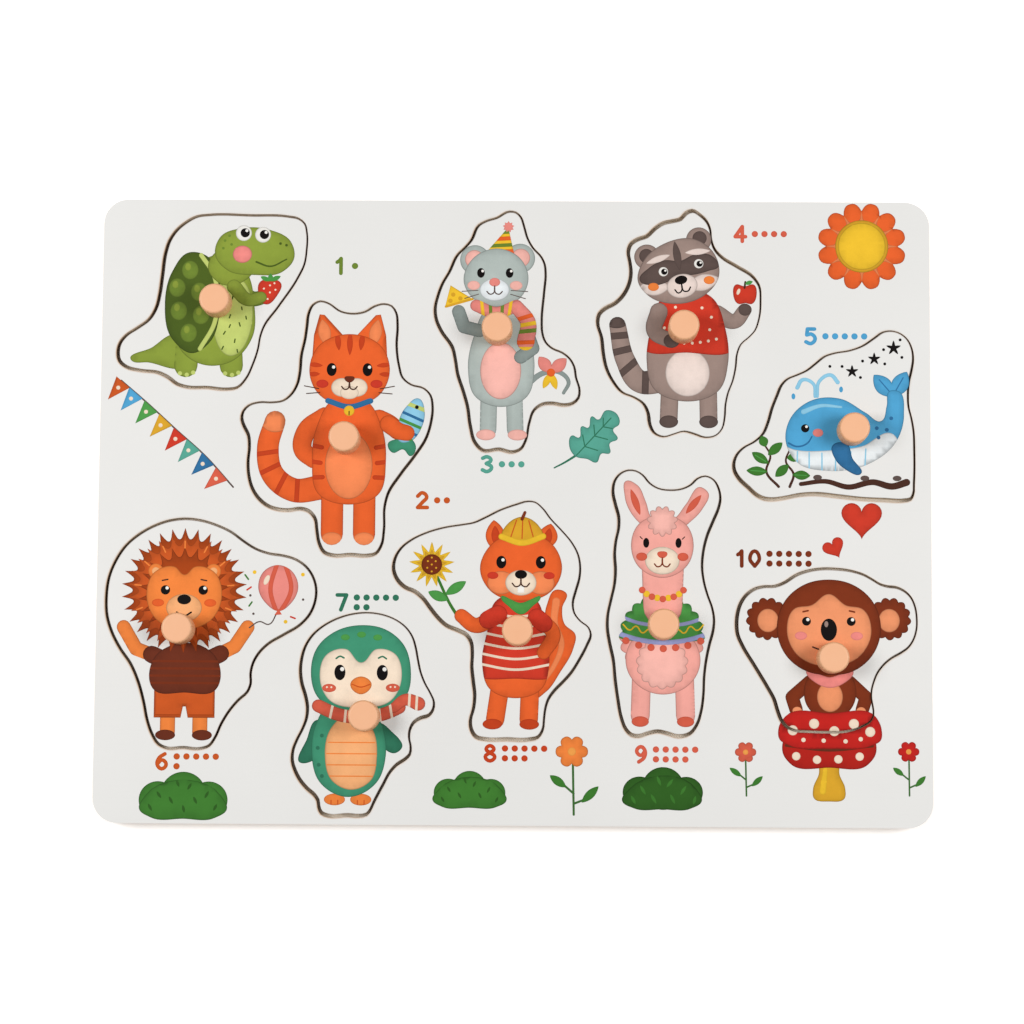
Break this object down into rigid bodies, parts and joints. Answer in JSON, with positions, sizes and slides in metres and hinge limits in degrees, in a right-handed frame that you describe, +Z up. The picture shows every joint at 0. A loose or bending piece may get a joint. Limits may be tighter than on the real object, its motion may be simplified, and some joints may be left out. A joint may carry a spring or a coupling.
{
  "type": "peg puzzle",
  "caption": "Flat wooden peg puzzle: a white printed board with shaped sockets, animal pieces that lie flush in them, and a round wooden peg on each piece to lift it by.",
  "frame": {"origin": "middle of the backing board's underside, where the puzzle stands on a table", "axes": "+X towards the board's right edge as the pictures are read, +Y towards its upper edge, +Z up out of the picture side"},
  "size_m": [0.3, 0.226, 0.018],
  "materials": {
    "white_printed_face": "white ultraviolet-cured print on plywood, satin",
    "raw_plywood": "plain sanded basswood plywood",
    "beech_peg": "plain sanded beech"
  },
  "bodies": {
    "board": {"face_board": "white_printed_face", "backing_board": "raw_plywood"},
    "turtle": {"turtle_piece": "white_printed_face", "turtle_peg": "beech_peg"},
    "cat": {"cat_piece": "white_printed_face", "cat_peg": "beech_peg"},
    "mouse": {"mouse_piece": "white_printed_face", "mouse_peg": "beech_peg"},
    "raccoon": {"raccoon_piece": "white_printed_face", "raccoon_peg": "beech_peg"},
    "whale": {"whale_piece": "white_printed_face", "whale_peg": "beech_peg"},
    "hedgehog": {"hedgehog_piece": "white_printed_face", "hedgehog_peg": "beech_peg"},
    "penguin": {"penguin_piece": "white_printed_face", "penguin_peg": "beech_peg"},
    "squirrel": {"squirrel_piece": "white_printed_face", "squirrel_peg": "beech_peg"},
    "llama": {"llama_piece": "white_printed_face", "llama_peg": "beech_peg"},
    "koala": {"koala_piece": "white_printed_face", "koala_peg": "beech_peg"}
  },
  "joints": [
    {"name": "turtle_lift", "type": "slide", "parent": "board", "child": "turtle", "axis": [0, 0, 1], "range_m": [0, 0.04]},
    {"name": "cat_lift", "type": "slide", "parent": "board", "child": "cat", "axis": [0, 0, 1], "range_m": [0, 0.04]},
    {"name": "mouse_lift", "type": "slide", "parent": "board", "child": "mouse", "axis": [0, 0, 1], "range_m": [0, 0.04]},
    {"name": "raccoon_lift", "type": "slide", "parent": "board", "child": "raccoon", "axis": [0, 0, 1], "range_m": [0, 0.04]},
    {"name": "whale_lift", "type": "slide", "parent": "board", "child": "whale", "axis": [0, 0, 1], "range_m": [0, 0.04]},
    {"name": "hedgehog_lift", "type": "slide", "parent": "board", "child": "hedgehog", "axis": [0, 0, 1], "range_m": [0, 0.04]},
    {"name": "penguin_lift", "type": "slide", "parent": "board", "child": "penguin", "axis": [0, 0, 1], "range_m": [0, 0.04]},
    {"name": "squirrel_lift", "type": "slide", "parent": "board", "child": "squirrel", "axis": [0, 0, 1], "range_m": [0, 0.04]},
    {"name": "llama_lift", "type": "slide", "parent": "board", "child": "llama", "axis": [0, 0, 1], "range_m": [0, 0.04]},
    {"name": "koala_lift", "type": "slide", "parent": "board", "child": "koala", "axis": [0, 0, 1], "range_m": [0, 0.04]}
  ]
}
